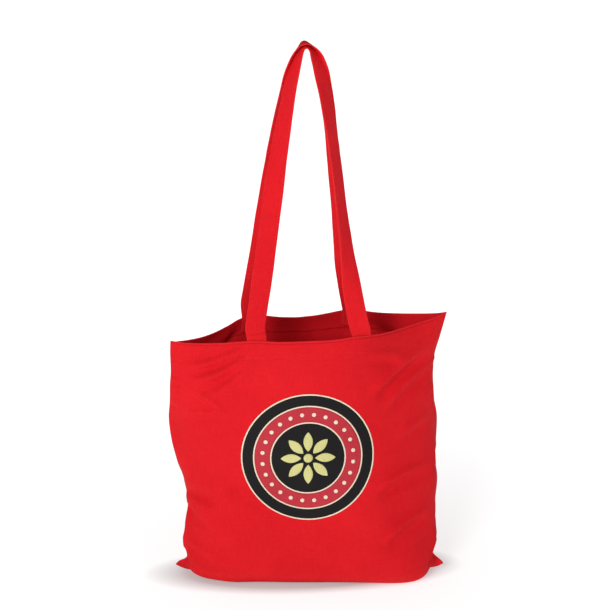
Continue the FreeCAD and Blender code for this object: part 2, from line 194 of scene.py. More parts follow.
SIM_SCALE = 4  # the simulation runs larger than life, where the solver's distances suit the cloth
SIM_FRAMES = 30
FILLING_INSET = 4 * MM
FILLING_BOTTOM, FILLING_TOP = 0.075, FLAT_HEIGHT - 0.06
FILLING_POINTS = 61  # across each of its sides
GAP = 1.2 * MM  # how far the cloth keeps off what it touches
FLOOR_LEVEL = -1.8 * GAP  # the solver holds the cloth about this far off its floor
EASING = 4  # rounds of smoothing after the simulation
EAR_CELLS = 4  # how many points of each seam are held at the lower corners


def new_object(name, mesh):
    obj = bpy.data.objects.new(name, mesh)
    bpy.context.scene.collection.objects.link(obj)
    return obj


def numbered(count, across):
    """Vertex numbers of a grid."""
    return np.arange(count * across).reshape(count, across)


def grid_faces(index):
    """Quads of a grid of vertex numbers."""
    corners = (index[:-1, :-1], index[:-1, 1:], index[1:, 1:], index[1:, :-1])
    return np.stack(corners, -1).reshape(-1, 4)


def simple_object(name, points, faces):
    mesh = bpy.data.meshes.new(name)
    mesh.from_pydata((np.asarray(points).reshape(-1, 3) * SIM_SCALE).tolist(), [], faces)
    mesh.update()
    return new_object(name, mesh)


def bag_grids():
    """Vertex numbers of both panels, which share the side and bottom seams, and where the
    vertices are at the start and in the flat cut."""
    rows = {side: np.array([form_row(side, j * CELL, COLUMNS + 1) for j in range(ROWS + 1)])
            for side in (FRONT, BACK)}
    front = numbered(ROWS + 1, COLUMNS + 1)
    back = front.copy()
    back[1:, 1:-1] = front.size + numbered(ROWS, COLUMNS - 1)
    start = np.concatenate([rows[FRONT].reshape(-1, 3), rows[BACK][1:, 1:-1].reshape(-1, 3)])
    v, u = np.meshgrid(np.arange(ROWS + 1) * CELL, np.arange(COLUMNS + 1) * CELL, indexing="ij")
    cut = np.stack([u, v, 0 * u], -1)
    flat = np.concatenate([cut.reshape(-1, 3), cut[1:, 1:-1].reshape(-1, 3)])
    return {FRONT: front, BACK: back}, start, flat


def add_filling():
    """A closed body a little inside the form, standing for what fills the bag out."""
    rings = []
    for v in np.arange(FILLING_BOTTOM, FILLING_TOP, CELL):
        walls = [form_row(side, v, FILLING_POINTS, FILLING_INSET) for side in (FRONT, BACK)]
        rings.append(np.concatenate([walls[0][:-1], walls[1][:0:-1]]))
    index = numbered(len(rings), len(rings[0]))
    faces = grid_faces(np.concatenate([index, index[:, :1]], 1)).tolist()
    faces += [index[0, ::-1].tolist(), index[-1].tolist()]
    return add_collider(simple_object("filling", rings, faces))


def add_collider(obj):
    obj.modifiers.new("collision", "COLLISION")
    obj.collision.thickness_outer = GAP * SIM_SCALE
    obj.collision.cloth_friction = 6
    return obj


def simulate_bag():
    """Drapes the flat cut over the form under gravity and gives both panels as grids of points."""
    index, start, flat = bag_grids()
    faces = np.concatenate([grid_faces(index[FRONT]), grid_faces(index[BACK])[:, ::-1]]).tolist()
    bag = simple_object("simulated_bag", start, faces)
    bag.shape_key_add(name="start")
    cut = bag.shape_key_add(name="flat cut")
    cut.data.foreach_set("co", (flat * SIM_SCALE).ravel())

    pins = bag.vertex_groups.new(name="held")
    hems = bag.vertex_groups.new(name="hems")
    deep = round(HEM_DEPTH / CELL)
    for side, grid in index.items():
        hems.add(grid[-deep - 1:].ravel().tolist(), 1, "REPLACE")
        mouth_x = start[grid[-1], 0]
        held = [grid[-deep:, np.abs(mouth_x - foot) < STRAP_WIDTH / 2 + 1 * MM]
                for foot in strap_feet(side)]
        held += [grid[-deep:, [0, -1]], grid[:EAR_CELLS, [0, -1]]]
        held += [grid[0, :EAR_CELLS], grid[0, -EAR_CELLS:]]
        for part in held:
            pins.add(part.ravel().tolist(), 1, "REPLACE")

    corners = [(x, y, FLOOR_LEVEL) for x, y in SQUARE]
    floor = add_collider(simple_object("simulation_floor", corners, [(0, 1, 2, 3)]))
    helpers = [bag, add_filling(), floor]

    cloth = bag.modifiers.new("cloth", "CLOTH")
    settings = cloth.settings
    settings.quality = 7
    settings.mass = 0.3
    settings.tension_stiffness, settings.compression_stiffness = 30, 8
    settings.shear_stiffness = 6
    settings.bending_stiffness, settings.bending_stiffness_max = 1.5, 25
    settings.vertex_group_bending = hems.name
    settings.tension_damping = settings.compression_damping = settings.shear_damping = 5
    settings.air_damping = 2
    settings.vertex_group_mass = pins.name
    settings.rest_shape_key = cut
    cloth.collision_settings.distance_min = GAP * SIM_SCALE
    cloth.collision_settings.collision_quality = 2

    scene = bpy.context.scene
    cloth.point_cache.frame_end = scene.frame_end = SIM_FRAMES
    for step in range(1, SIM_FRAMES + 1):
        scene.frame_set(step)
    result = bag.evaluated_get(bpy.context.evaluated_depsgraph_get()).data
    points = np.zeros(len(flat) * 3)
    result.vertices.foreach_get("co", points)
    points = points.reshape(-1, 3) / SIM_SCALE
    scene.frame_set(1)
    for obj in helpers:
        bpy.data.objects.remove(obj)
    return {side: eased(points[index[side]]) for side in (FRONT, BACK)}


def eased(grid):
    """Takes the solver's sharpest kinks out of a panel. Both panels keep the same seams."""
    for _ in range(EASING):
        for axis in (0, 1):
            rows = np.moveaxis(grid.copy(), axis, 0)
            rows[1:-1] = (rows[:-2] + 2 * rows[1:-1] + rows[2:]) / 4
            grid = np.moveaxis(rows, 0, axis)
    return grid


# ---- folds, puckers and relief, laid over the simulated cloth ----

# Creases on a panel, in millimetres: x and z where each starts, x and z where it ends, how far
# it stands out, and how wide it is.
FRONT_FOLDS = [
    (-80, 326, -156, 296, 1.6, 5),
    (-74, 318, -150, 277, 2.2, 6),
    (-68, 312, -132, 256, 1.5, 6),
    (-139, 264, -106, 240, 1.5, 5),
    (-152, 232, -104, 238, 1.0, 5),
    (84, 262, 160, 307, 2.2, 8),
    (104, 243, 162, 283, 1.6, 7),
    (78, 312, 130, 296, 1.0, 6),
    (120, 197, 164, 216, 0.9, 6),
    (88, 135, 160, 153, 1.6, 7),
    (98, 66, 158, 96, 1.8, 7),
    (-156, 120, -112, 108, -1.8, 7),
    (-156, 102, -118, 76, 1.3, 6),
    (-156, 50, -116, 32, 1.2, 6),
    (-100, 150, -90, 118, -1.2, 10),
]
BACK_FOLDS = [
    (78, 322, 152, 284, 1.4, 7),
    (70, 314, 128, 262, 1.0, 7),
    (-82, 318, -152, 276, 1.2, 7),
    (-160, 190, -100, 162, 1.1, 8),
    (-154, 120, -106, 104, -0.9, 9),
    (162, 236, 98, 206, 0.8, 9),
    (160, 104, 90, 72, 0.8, 9),
    (-150, 60, -104, 36, 1.1, 7),
    (30, 150, 48, 90, -0.7, 12),
]
FOLDS = {FRONT: FRONT_FOLDS, BACK: BACK_FOLDS}
FOLD_STRENGTH = 2.9  # every crease is raised by this much
FINE_CELL = CELL / 2
HEM_ROW = FLAT_HEIGHT - 23.5 * MM  # the row of stitches round the mouth
BOX_SIZE = 21 * MM  # of the crossed stitches at a strap's end
BOX_FOOT = HEM_ROW + 0.5 * MM
SURFACE = {}  # the finished panels: flat coordinates, and each side's points and normals


def refine(grid):
    """Doubles a grid's resolution, with smooth curves through its points."""
    for axis in (0, 1):
        rows = np.moveaxis(grid, axis, 0)
        middle = np.empty((len(rows) - 1, *rows.shape[1:]))
        middle[1:-1] = (9 * (rows[1:-2] + rows[2:-1]) - rows[:-3] - rows[3:]) / 16
        middle[0] = (3 * rows[0] + 6 * rows[1] - rows[2]) / 8
        middle[-1] = (3 * rows[-1] + 6 * rows[-2] - rows[-3]) / 8
        finer = np.empty((2 * len(rows) - 1, *rows.shape[1:]))
        finer[::2], finer[1::2] = rows, middle
        grid = np.moveaxis(finer, 0, axis)
    return grid


def outward(grid, side):
    """Unit normals of a panel's grid, pointing out of the bag."""
    return unit(np.cross(np.gradient(grid, axis=1), np.gradient(grid, axis=0)) * -side)


def noise(u, v, cell_u, cell_v, seed):
    """Smooth noise from -1 to 1 over flat coordinates, with cells of the given sizes."""
    lattice = np.random.RandomState(seed).uniform(-1, 1, (240, 240))
    a, b = u / cell_u + 7, v / cell_v + 7
    i, j = np.floor(a).astype(int), np.floor(b).astype(int)
    s, t = smoothstep(a - i, 0, 1), smoothstep(b - j, 0, 1)
    i, j = i % 239, j % 239
    near = lattice[j, i] * (1 - s) + lattice[j, i + 1] * s
    far = lattice[j + 1, i] * (1 - s) + lattice[j + 1, i + 1] * s
    return near * (1 - t) + far * t


def crease(x, z, line, width):
    """A ridge along a line and a shallower furrow beside it, bowed a little, with tapered ends."""
    start_x, start_z, end_x, end_z = line
    length = math.hypot(end_x - start_x, end_z - start_z)
    along_x, along_z = (end_x - start_x) / length, (end_z - start_z) / length
    dx, dz = x - start_x, z - start_z
    travelled = dx * along_x + dz * along_z
    bow = 0.06 * length * np.sin(np.pi * np.clip(travelled / length, 0, 1))
    away = dz * along_x - dx * along_z - bow
    taper = smoothstep(travelled, -width, 2 * width)
    taper = taper * (1 - smoothstep(travelled, 0.55 * length, 1.1 * length))
    furrow = 0.7 * np.exp(-((away + 1.5 * width) / (1.2 * width))**2)
    return (np.exp(-(away / width)**2) - furrow) * taper


def relief(side, grid, u, v, feet_u):
    """How far each point of a panel is pushed out of the simulated cloth."""
    x, z = grid[..., 0], grid[..., 2]
    out = np.zeros_like(x)
    on_wall = smoothstep(z, 0.004, 0.02)
    for *line, height, width in FOLDS[side]:
        out += FOLD_STRENGTH * height * MM * crease(x / MM, z / MM, line, width) * on_wall

    # gathers under the hem's stitches, the groove that the stitches pull, and an uneven hem
    below_hem = smoothstep(HEM_ROW - v, -1 * MM, 2 * MM)
    gather = noise(u, 0 * v, 5.5 * MM, 1, 3 + side) + 0.6 * noise(u, v, 9 * MM, 30 * MM, 5 + side)
    out += 0.45 * MM * gather * below_hem * np.exp(-np.maximum(HEM_ROW - v, 0) / (9 * MM))
    out -= 0.35 * MM * np.exp(-((v - HEM_ROW) / (1.6 * MM))**2)
    in_hem = smoothstep(v, HEM_ROW, HEM_ROW + 6 * MM)
    out += 0.16 * MM * noise(u, v, 12 * MM, 14 * MM, 11 + side) * in_hem

    # puckers along both side seams
    for edge in (u, FLAT_WIDTH - u):
        pucker = noise(v, edge, 7 * MM, 1, 17 + side)
        pucker = pucker + 0.5 * noise(v, edge, 17 * MM, 20 * MM, 19 + side)
        out += 0.9 * MM * pucker * np.exp(-((edge - 7 * MM) / (7 * MM))**2) * on_wall

    # broad unevenness and faint slanted ripples all over
    out += 0.5 * MM * noise(u, v, 34 * MM, 52 * MM, 23 + side) * on_wall
    out += 0.22 * MM * noise(u + 0.4 * v, v, 13 * MM, 40 * MM, 29 + side) * on_wall

    # the sewn strap ends pressing through, and the cloth drawn up in rays round their stitches
    for foot in feet_u:
        du, dv = u - foot, v - BOX_FOOT
        inside = smoothstep(STRAP_WIDTH / 2 - np.abs(du), -1.6 * MM, 1.6 * MM)
        out += 0.75 * MM * inside * smoothstep(dv, -2.5 * MM, 1.5 * MM)
        reach = np.hypot(np.maximum(np.abs(du) - BOX_SIZE / 2, 0), np.minimum(dv, 0))
        rays = np.sin(np.arctan2(dv - 9 * MM, du) * 17 + 3 * foot / MM)
        out += 0.7 * MM * rays * np.exp(-reach / (10 * MM)) * smoothstep(-dv, 0, 5 * MM)
    return out


def finish_surface(grids):
    """Lays the relief over both panels and stores their points and normals."""
    fine = {side: refine(grid) for side, grid in grids.items()}
    count_v, count_u = fine[FRONT].shape[:2]
    v, u = (axis * FINE_CELL for axis in np.indices((count_v, count_u)))
    for side, grid in fine.items():
        feet_u = [float(np.interp(x, grid[-10, :, 0], u[0])) for x in strap_feet(side)]
        normals = outward(grid, side)
        inner = smoothstep(np.minimum(u, FLAT_WIDTH - u), 0, 6 * MM) * smoothstep(v, 0, 10 * MM)
        out = relief(side, grid, u, v, feet_u) * inner
        grid = grid + normals * out[..., None]
        grid[..., 2] = np.maximum(grid[..., 2], 0.4 * MM)
        SURFACE[side] = {"points": grid, "normals": outward(grid, side), "feet": feet_u}
    SURFACE.update(u=u, v=v)


def place(side, u, v, h):
    """Points on or off the outer face of a panel, at flat coordinates u and v and height h."""
    points, normals = SURFACE[side]["points"], SURFACE[side]["normals"]
    u, v, h = np.broadcast_arrays(u, v, h)
    a = np.clip(u / FINE_CELL, 0, points.shape[1] - 1.000001)
    b = np.clip(v / FINE_CELL, 0, points.shape[0] - 1.000001)
    i, j = a.astype(int), b.astype(int)
    s, t = (a - i)[..., None], (b - j)[..., None]

    def mixed(grid):
        low = grid[j, i] * (1 - s) + grid[j, i + 1] * s
        high = grid[j + 1, i] * (1 - s) + grid[j + 1, i + 1] * s
        return low * (1 - t) + high * t

    return mixed(points) + unit(mixed(normals)) * h[..., None]


# ---- mesh builders ----

def piece(name, points, faces, uv, material, slot, wear=None):
    """A smooth closed piece. uv and wear have one row for each point."""
    mesh = bpy.data.meshes.new(name)
    mesh.from_pydata(np.asarray(points, float).reshape(-1, 3).tolist(), [], faces)
    edit = bmesh.new()
    edit.from_mesh(mesh)
    bmesh.ops.recalc_face_normals(edit, faces=edit.faces)
    edit.to_mesh(mesh)
    edit.free()
    corners = np.zeros(len(mesh.loops), int)
    mesh.loops.foreach_get("vertex_index", corners)
    layer = mesh.uv_layers.new(name="UVMap")
    layer.data.foreach_set("uv", np.asarray(uv, float).reshape(-1, 2)[corners].ravel())
    attribute = mesh.attributes.new("wear", "FLOAT", "POINT")
    if wear is not None:
        attribute.data.foreach_set("value", np.asarray(wear, np.float32).ravel())
    mesh.polygons.foreach_set("use_smooth", [True] * len(mesh.polygons))
    mesh.materials.append(material)
    obj = new_object(name, mesh)
    return obj


def bag_piece(name, data, material, slot, node, wear=None):
    """A piece that moves with the bag and stands for one CAD node."""
    obj = piece(name, *data, material, slot, wear)
    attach(obj, "bag")
    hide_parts(node)
    return obj


def slab_data(top, bottom, uv):
    """Points, faces and uv of a closed slab between two grids."""
    index = numbered(*top.shape[:2])
    rim = np.concatenate([index[0], index[1:, -1], index[-1, -2::-1], index[-2:0:-1, 0]])
    following = np.roll(rim, -1)
    walls = np.stack([following, rim, rim + index.size, following + index.size], -1)
    faces = np.concatenate([grid_faces(index), grid_faces(index + index.size)[:, ::-1], walls])
    points = np.concatenate([top.reshape(-1, 3), bottom.reshape(-1, 3)])
    return points, faces.tolist(), np.concatenate([uv.reshape(-1, 2)] * 2)


def sweep_data(rings, uv, closed=False):
    """Points, faces and uv of a tube through rings of points, capped unless it is closed."""
    index = numbered(*rings.shape[:2])
    wrapped = np.concatenate([index, index[:, :1]], 1)
    if closed:
        wrapped = np.concatenate([wrapped, wrapped[:1]])
    faces = grid_faces(wrapped).tolist()
    if not closed:
        faces += [index[0, ::-1].tolist(), index[-1].tolist()]
    return rings.reshape(-1, 3), faces, uv.reshape(-1, 2)


def merge(parts):
    """Joins several (points, faces, uv) into one."""
    points, faces, uvs, offset = [], [], [], 0
    for part_points, part_faces, part_uv in parts:
        points.append(part_points)
        uvs.append(part_uv)
        faces += [[corner + offset for corner in face] for face in part_faces]
        offset += len(part_points)
    return np.concatenate(points), faces, np.concatenate(uvs)


def runs_along(corners, pitch, gap):
    """Start and end of each stitch along a line through flat coordinates."""
    corners = np.array(corners, float)
    travelled = distances(corners)
    count = max(round(travelled[-1] / pitch), 1)
    starts = np.arange(count) * travelled[-1] / count
    ends = starts + travelled[-1] / count - gap
    return [sample(marks, travelled, corners) for marks in (starts, ends)]


def stitch_data(mapper, corners, pitch=3.0 * MM, gap=0.5 * MM, thread=0.55 * MM, lift=0.12 * MM,
                sunk=0.3 * MM):
    """A row of stitches, each a short bead of thread whose ends sink into the cloth. mapper takes
    flat coordinates and a height to points; a negative lift puts the row under a face."""
    start, end = runs_along(corners, pitch, gap)
    along = end - start
    length = np.linalg.norm(along, axis=1, keepdims=True)
    direction = along / length
    aside = np.stack([-direction[:, 1], direction[:, 0]], -1)
    t = np.array([-1, -0.72, 0, 0.72, 1])
    radius = thread / 2 * np.array([0.45, 0.9, 1, 0.9, 0.45])
    angles = np.arange(6) * np.pi / 3
    centre = (start + end)[:, None] / 2 + along[:, None] * (t / 2)[None, :, None]
    reach = (radius[:, None] * np.cos(angles))[None, ..., None]
    flat = centre[:, :, None] + aside[:, None, None] * reach
    away = 1 if lift >= 0 else -1
    height = lift - away * sunk * t[:, None]**4 + radius[:, None] * np.sin(angles)
    points = mapper(flat[..., 0], flat[..., 1], np.broadcast_to(height, flat.shape[:-1]))
    return merge([sweep_data(rings, uv) for rings, uv in zip(points, flat)])


# ---- materials ----

def node_maker(tree):
    """A short way to add nodes: inputs given by name or number are values, or sockets to link."""
    def make(kind, inputs=None, **settings):
        node = tree.nodes.new(kind)
        for key, setting in settings.items():
            setattr(node, key, setting)
        for key, given in (inputs or {}).items():
            if isinstance(given, bpy.types.NodeSocket):
                tree.links.new(given, node.inputs[key])
            else:
                node.inputs[key].default_value = given
        return node
    return make


def math_node(make, operation, *inputs):
    return make("ShaderNodeMath", dict(enumerate(inputs)), operation=operation).outputs[0]


def vector_node(make, operation, *inputs):
    return make("ShaderNodeVectorMath", dict(enumerate(inputs)), operation=operation)


def noise_node(make, vector, scale, detail):
    inputs = {"Vector": vector, "Scale": scale, "Detail": detail, "Roughness": 0.6}
    return make("ShaderNodeTexNoise", inputs).outputs["Fac"]


def remap(make, factor, from_low, from_high, to_low, to_high):
    inputs = {0: factor, 1: from_low, 2: from_high, 3: to_low, 4: to_high}
    return make("ShaderNodeMapRange", inputs, clamp=True).outputs[0]


def thread_height(make, along, across, shift):
    """Height of one set of a plain weave's threads, which pass over and under the other set."""
    maths = partial(math_node, make)
    number = maths("FLOOR", across)
    crown = maths("ABSOLUTE", maths("SINE", maths("MULTIPLY", across, math.pi)))
    phase = maths("MULTIPLY", maths("ADD", maths("ADD", along, number), shift), math.pi)
    wave = maths("MULTIPLY_ADD", maths("COSINE", phase), 0.5, 0.5)
    return maths("MULTIPLY", crown, wave)


def woven(name, colour, dark, light, pitch=0.46 * MM, roughness=0.85, sheen=0.1,
          relief_depth=0.10 * MM, stretch=(1.0, 1.0), slub=0.5, fuzz=0.05 * MM, pale=None):
    """Plain-woven cloth over flat coordinates in metres: raised threads of uneven thickness, uneven
    dye, painted shade in the gaps between threads, and paler rubbed folds and edges where the mesh
    says wear."""
    material = bpy.data.materials.new(name)
    material.use_nodes = True
    tree = material.node_tree
    tree.nodes.clear()
    make = node_maker(tree)
    maths, spread, clouds = (partial(kind, make) for kind in (math_node, remap, noise_node))
    flat = make("ShaderNodeUVMap", uv_map="UVMap").outputs[0]
    per_metre = (stretch[0] / pitch, stretch[1] / pitch, 0)
    threads = vector_node(make, "MULTIPLY", flat, per_metre).outputs[0]
    split = make("ShaderNodeSeparateXYZ", {0: threads})
    u, v = split.outputs[0], split.outputs[1]

    # each set of threads is thicker and thinner along its own length
    warp_slub, weft_slub = (
        clouds(vector_node(make, "MULTIPLY", flat, scale).outputs[0], 1, 2)
        for scale in ((2100, 38, 0), (45, 2100, 0)))
    warp, weft = (
        maths("MULTIPLY", thread_height(make, *axes), spread(uneven, 0.3, 0.75, 1 - slub, 1 + slub))
        for axes, uneven in (((v, u, 0.0), warp_slub), ((u, v, 1.0), weft_slub)))
    weave = maths("MAXIMUM", warp, weft)

    # the tone: broad dye, mottling, thick threads, and painted shade in the gaps between threads
    dye = clouds(flat, 9, 4)
    mottle = clouds(flat, 260, 3)
    tone_with_gap_shade = maths("ADD", spread(dye, 0.3, 0.7, -0.12, 0.12), spread(mottle, 0.25, 0.75, -0.08, 0.08))
    tone_with_gap_shade = maths("ADD", tone_with_gap_shade, spread(maths("ADD", warp_slub, weft_slub), 0.7, 1.35, -0.14, 0.16))
    # painted shade: the low places between the threads are coloured darker
    tone_with_gap_shade = maths("ADD", tone_with_gap_shade, spread(weave, 0.05, 0.7, -0.42, 0.16))
    ramp = make("ShaderNodeValToRGB", {0: spread(tone_with_gap_shade, -0.8, 0.8, 0, 1)})
    elements = ramp.color_ramp.elements
    elements[0].position, elements[0].color = 0.0, (*dark, 1)
    elements[1].position, elements[1].color = 1.0, (*light, 1)
    elements.new(0.5).color = (*colour, 1)

    # patchy wear on the tops of the threads
    rubbed = make("ShaderNodeAttribute", attribute_name="wear").outputs["Fac"]
    patchy = clouds(flat, 700, 3)
    wear = maths("MULTIPLY", rubbed, spread(patchy, 0.35, 0.7, 0.15, 1))
    wear = maths("MULTIPLY", wear, spread(weave, 0.1, 0.6, 0.3, 1))
    worn = make("ShaderNodeMix", data_type="RGBA")
    for socket, given in ((0, wear), (6, ramp.outputs[0])):
        tree.links.new(given, worn.inputs[socket])
    worn.inputs[7].default_value = (*(pale or light), 1)

    # threads, loose fibres and a soft unevenness as relief
    fibres = clouds(flat, 5200, 2)
    height = maths("MULTIPLY", weave, relief_depth)
    height = maths("MULTIPLY_ADD", fibres, fuzz, height)
    height = maths("MULTIPLY_ADD", mottle, 0.25 * MM, height)
    bump = make("ShaderNodeBump", {"Height": height, "Distance": 1.0, "Strength": 0.8})
    rough = spread(tone_with_gap_shade, -0.6, 0.6, roughness + 0.06, roughness - 0.08)
    shader = make("ShaderNodeBsdfPrincipled", {
        "Base Color": worn.outputs[2], "Roughness": rough, "Normal": bump.outputs[0],
        "Sheen Weight": sheen, "Sheen Roughness": 0.45, "Sheen Tint": (*light, 1),
        "Specular IOR Level": 0.15,
    })
    make("ShaderNodeOutputMaterial", {0: shader.outputs[0]})
    return material


def printed(name, colour, dark, light):
    """Screen-printed ink: a thin, slightly glossier film that lets the weave show through, with
    painted shade in the gaps between its threads."""
    return woven(name, colour, dark, light, roughness=0.62, sheen=0.0, relief_depth=0.06 * MM,
                 slub=0.3, fuzz=0.012 * MM)


# The three colours of each are its own, its darkest and its lightest.
RED = (0.68, 0.006, 0.012), (0.42, 0.002, 0.008), (0.88, 0.022, 0.026)
RUBBED_RED = (0.92, 0.13, 0.11)
cotton = woven("red_cotton", *RED, pale=RUBBED_RED)
webbing = woven("red_strap_cotton", *RED, pitch=0.5 * MM, relief_depth=0.13 * MM, pale=RUBBED_RED)
# Sewing thread: its twist shows as fine slanted stripes, with a soft gloss.
red_thread = woven("red_sewing_thread",
                   (0.72, 0.012, 0.018), (0.38, 0.003, 0.006), (0.95, 0.08, 0.07),
                   pitch=0.16 * MM, roughness=0.5, sheen=0.15, relief_depth=0.03 * MM,
                   stretch=(1.0, 1.6), fuzz=0.02 * MM)
black_ink = printed("black_print_ink",
                    (0.007, 0.006, 0.007), (0.003, 0.003, 0.003), (0.016, 0.013, 0.014))
cream_ink = printed("cream_print_ink", (0.86, 0.74, 0.56), (0.55, 0.40, 0.28), (0.96, 0.88, 0.72))
rose_ink = printed("rose_print_ink", (0.48, 0.028, 0.045), (0.30, 0.012, 0.02), (0.62, 0.06, 0.075))
green_ink = printed("pale_green_print_ink",
                    (0.62, 0.60, 0.24), (0.36, 0.34, 0.11), (0.80, 0.78, 0.42))
satin = woven("white_satin", (0.86, 0.85, 0.82), (0.70, 0.69, 0.66), (0.95, 0.95, 0.93),
              pitch=0.2 * MM, roughness=0.35, relief_depth=0.015 * MM, stretch=(0.25, 1.0),
              slub=0.2, fuzz=0.004 * MM)


# ---- the bag ----

INNER = -CLOTH  # height of a panel's inner face
HEM_THICKNESS = 0.7 * MM
ROLL = 0.5 * (CLOTH + HEM_THICKNESS + 0.15 * MM)  # radius of the folded edge at the mouth
STRAP_HALF = 0.95 * MM  # half a strap's thickness
# How far a strap's middle lies under a panel's outer face, where it is sewn on inside the hem.
STRAP_DEPTH_IN_BAG = CLOTH + HEM_THICKNESS + 0.15 * MM + STRAP_HALF + 0.1 * MM


def make_panel(side):
    """One panel: its outer face, and the inner one a cloth's thickness behind."""
    name = SIDE_NAMES[side]
    u, v = SURFACE["u"][:-1], SURFACE["v"][:-1]
    uv = np.stack([u, v], -1)
    data = slab_data(place(side, u, v, 0.0), place(side, u, v, INNER), uv)
    # worn along the side seams, the bottom seam, the base's edge and the lower corners
    edge = np.minimum(u, FLAT_WIDTH - u)
    places = ((0.28, edge, 1.5 * MM), (0.2, v, 5 * MM), (0.06, v - 0.075, 0.012),
              (0.15, np.hypot(edge, v), 0.012))
    wear = sum(most * np.exp(-(away / reach)**2) for most, away, reach in places)
    wear = np.concatenate([wear.ravel(), 0.3 * wear.ravel()])
    return bag_piece(f"{name}_panel_cloth", data, cotton, "red_cotton", f"{name}_panel", wear)


def make_hem(side):
    """The turned-in mouth: over the top edge in a soft roll, and down inside to the raw edge."""
    name = SIDE_NAMES[side]
    u = SURFACE["u"][0]
    top = FLAT_HEIGHT - FINE_CELL
    angles = np.linspace(math.pi / 2, -math.pi / 2, 9)
    roll_v = FLAT_HEIGHT - ROLL + ROLL * np.cos(angles)
    roll_h = -ROLL + ROLL * np.sin(angles)
    foot = FLAT_HEIGHT - HEM_DEPTH
    down = np.linspace(FLAT_HEIGHT - 2 * ROLL, foot, 9)
    up = down[::-1]
    section_v = np.concatenate([[top], roll_v, down, [foot - 0.3 * MM], up, [top]])
    inside = -2 * ROLL
    section_h = np.concatenate([[0], roll_h, 0 * down + inside, [inside + HEM_THICKNESS / 2],
                                0 * up + inside + HEM_THICKNESS, [INNER]])
    uu, vv = np.meshgrid(u, section_v, indexing="ij")
    hh = np.broadcast_to(section_h, uu.shape)
    # below its stitches the raw edge is loose and wavy
    loose = noise(uu, vv, 11 * MM, 9 * MM, 41 + side)
    loose = loose * smoothstep(HEM_ROW + 2 * MM - vv, -1 * MM, 2 * MM)
    hh = hh + np.where(hh < INNER - 0.05 * MM, 0.25 * MM * loose, 0)
    vv = vv + np.where(hh < INNER, 0.3 * MM * noise(uu, 0 * vv, 6 * MM, 1, 43 + side), 0)
    data = sweep_data(place(side, uu, vv, hh), np.stack([uu, vv], -1))
    wear = 0.2 * np.exp(-((vv - FLAT_HEIGHT + 0.3 * MM) / (1.2 * MM))**2)
    return bag_piece(f"{name}_hem_fold", data, cotton, "red_cotton", f"{name}_hem", wear)


def sewn_through(side, inner, line, **settings):
    """Stitches as they show outside and, at height inner, inside."""
    inside = lambda u, v, h: place(side, u, v, inner + h)
    return [stitch_data(partial(place, side), line, **settings),
            stitch_data(inside, line, lift=-0.12 * MM, **settings)]


def make_hem_thread(side):
    """The row of stitches round the mouth."""
    name = SIDE_NAMES[side]
    rows = sewn_through(side, -2 * ROLL, [(2 * MM, HEM_ROW), (FLAT_WIDTH - 2 * MM, HEM_ROW)])
    return bag_piece(f"{name}_hem_thread", merge(rows), red_thread, "red_thread",
                     f"{name}_hem_stitching")


def box_lines(foot_u):
    """A square and its diagonals, in flat coordinates."""
    left, right = foot_u - BOX_SIZE / 2 + 1 * MM, foot_u + BOX_SIZE / 2 - 1 * MM
    low, high = BOX_FOOT + 1 * MM, BOX_FOOT + BOX_SIZE - 2 * MM
    corners = [(left, low), (right, low), (right, high), (left, high), (left, low)]
    return [corners, [(left, low), (right, high)], [(left, high), (right, low)]]


def make_box_threads(side):
    """The crossed stitches that hold each strap end."""
    inner = -STRAP_DEPTH_IN_BAG - STRAP_HALF
    for hand, foot in zip(("left", "right"), SURFACE[side]["feet"]):
        rows = [row for line in box_lines(foot)
                for row in sewn_through(side, inner, line, pitch=2.6 * MM)]
        name = f"{SIDE_NAMES[side]}_{hand}_box"
        bag_piece(f"{name}_thread", merge(rows), red_thread, "red_thread", f"{name}_stitching")


# ---- seam allowances, inside ----

ALLOWANCE, ALLOWANCE_HALF = 8 * MM, 0.75 * MM  # its width, and half the thickness of its two layers
UNDER = 0.4 * MM  # how far under the outer face a seam is kept
SEAM_END = 2 * MM  # a seam's stitches stop this short of its ends
ZIGZAG_STEP = 1.5 * MM


def seam_mapper(origin, inward, lean):
    """Maps distance along a seam, distance from it and height off the allowance to points."""
    marks = distances(origin)
    normal = unit(np.cross(unit(np.gradient(origin, axis=0)), inward))

    def mapper(s, w, h):
        s, w, h = np.broadcast_arrays(s, w, h)
        o, i, n = (sample(s, marks, grid) for grid in (origin, inward, normal))
        bend = (w / ALLOWANCE)**2 * (lean + 0.8 * MM * noise(s, w, 13 * MM, 40 * MM, 71))
        return o + i * w[..., None] + n * (h + bend)[..., None]

    return mapper, marks[-1]


def kept_inside(data):
    """Moves the points that stand out of the bag to just under its outer face, where a narrow
    fold leaves the seam no room."""
    trees = []
    for side in (FRONT, BACK):
        grid = SURFACE[side]["points"]
        faces = grid_faces(numbered(*grid.shape[:2]))
        trees.append(BVHTree.FromPolygons(grid.reshape(-1, 3).tolist(), faces[:, ::-side].tolist()))
    held = []
    for point in map(Vector, data[0]):
        found = min((tree.find_nearest(point) for tree in trees), key=lambda hit: hit[3])
        spot, normal = found[:2]
        out = (point - spot).dot(normal)
        held.append(point - normal * (out + UNDER) if out > -UNDER else point)
    return np.array(held), *data[1:]


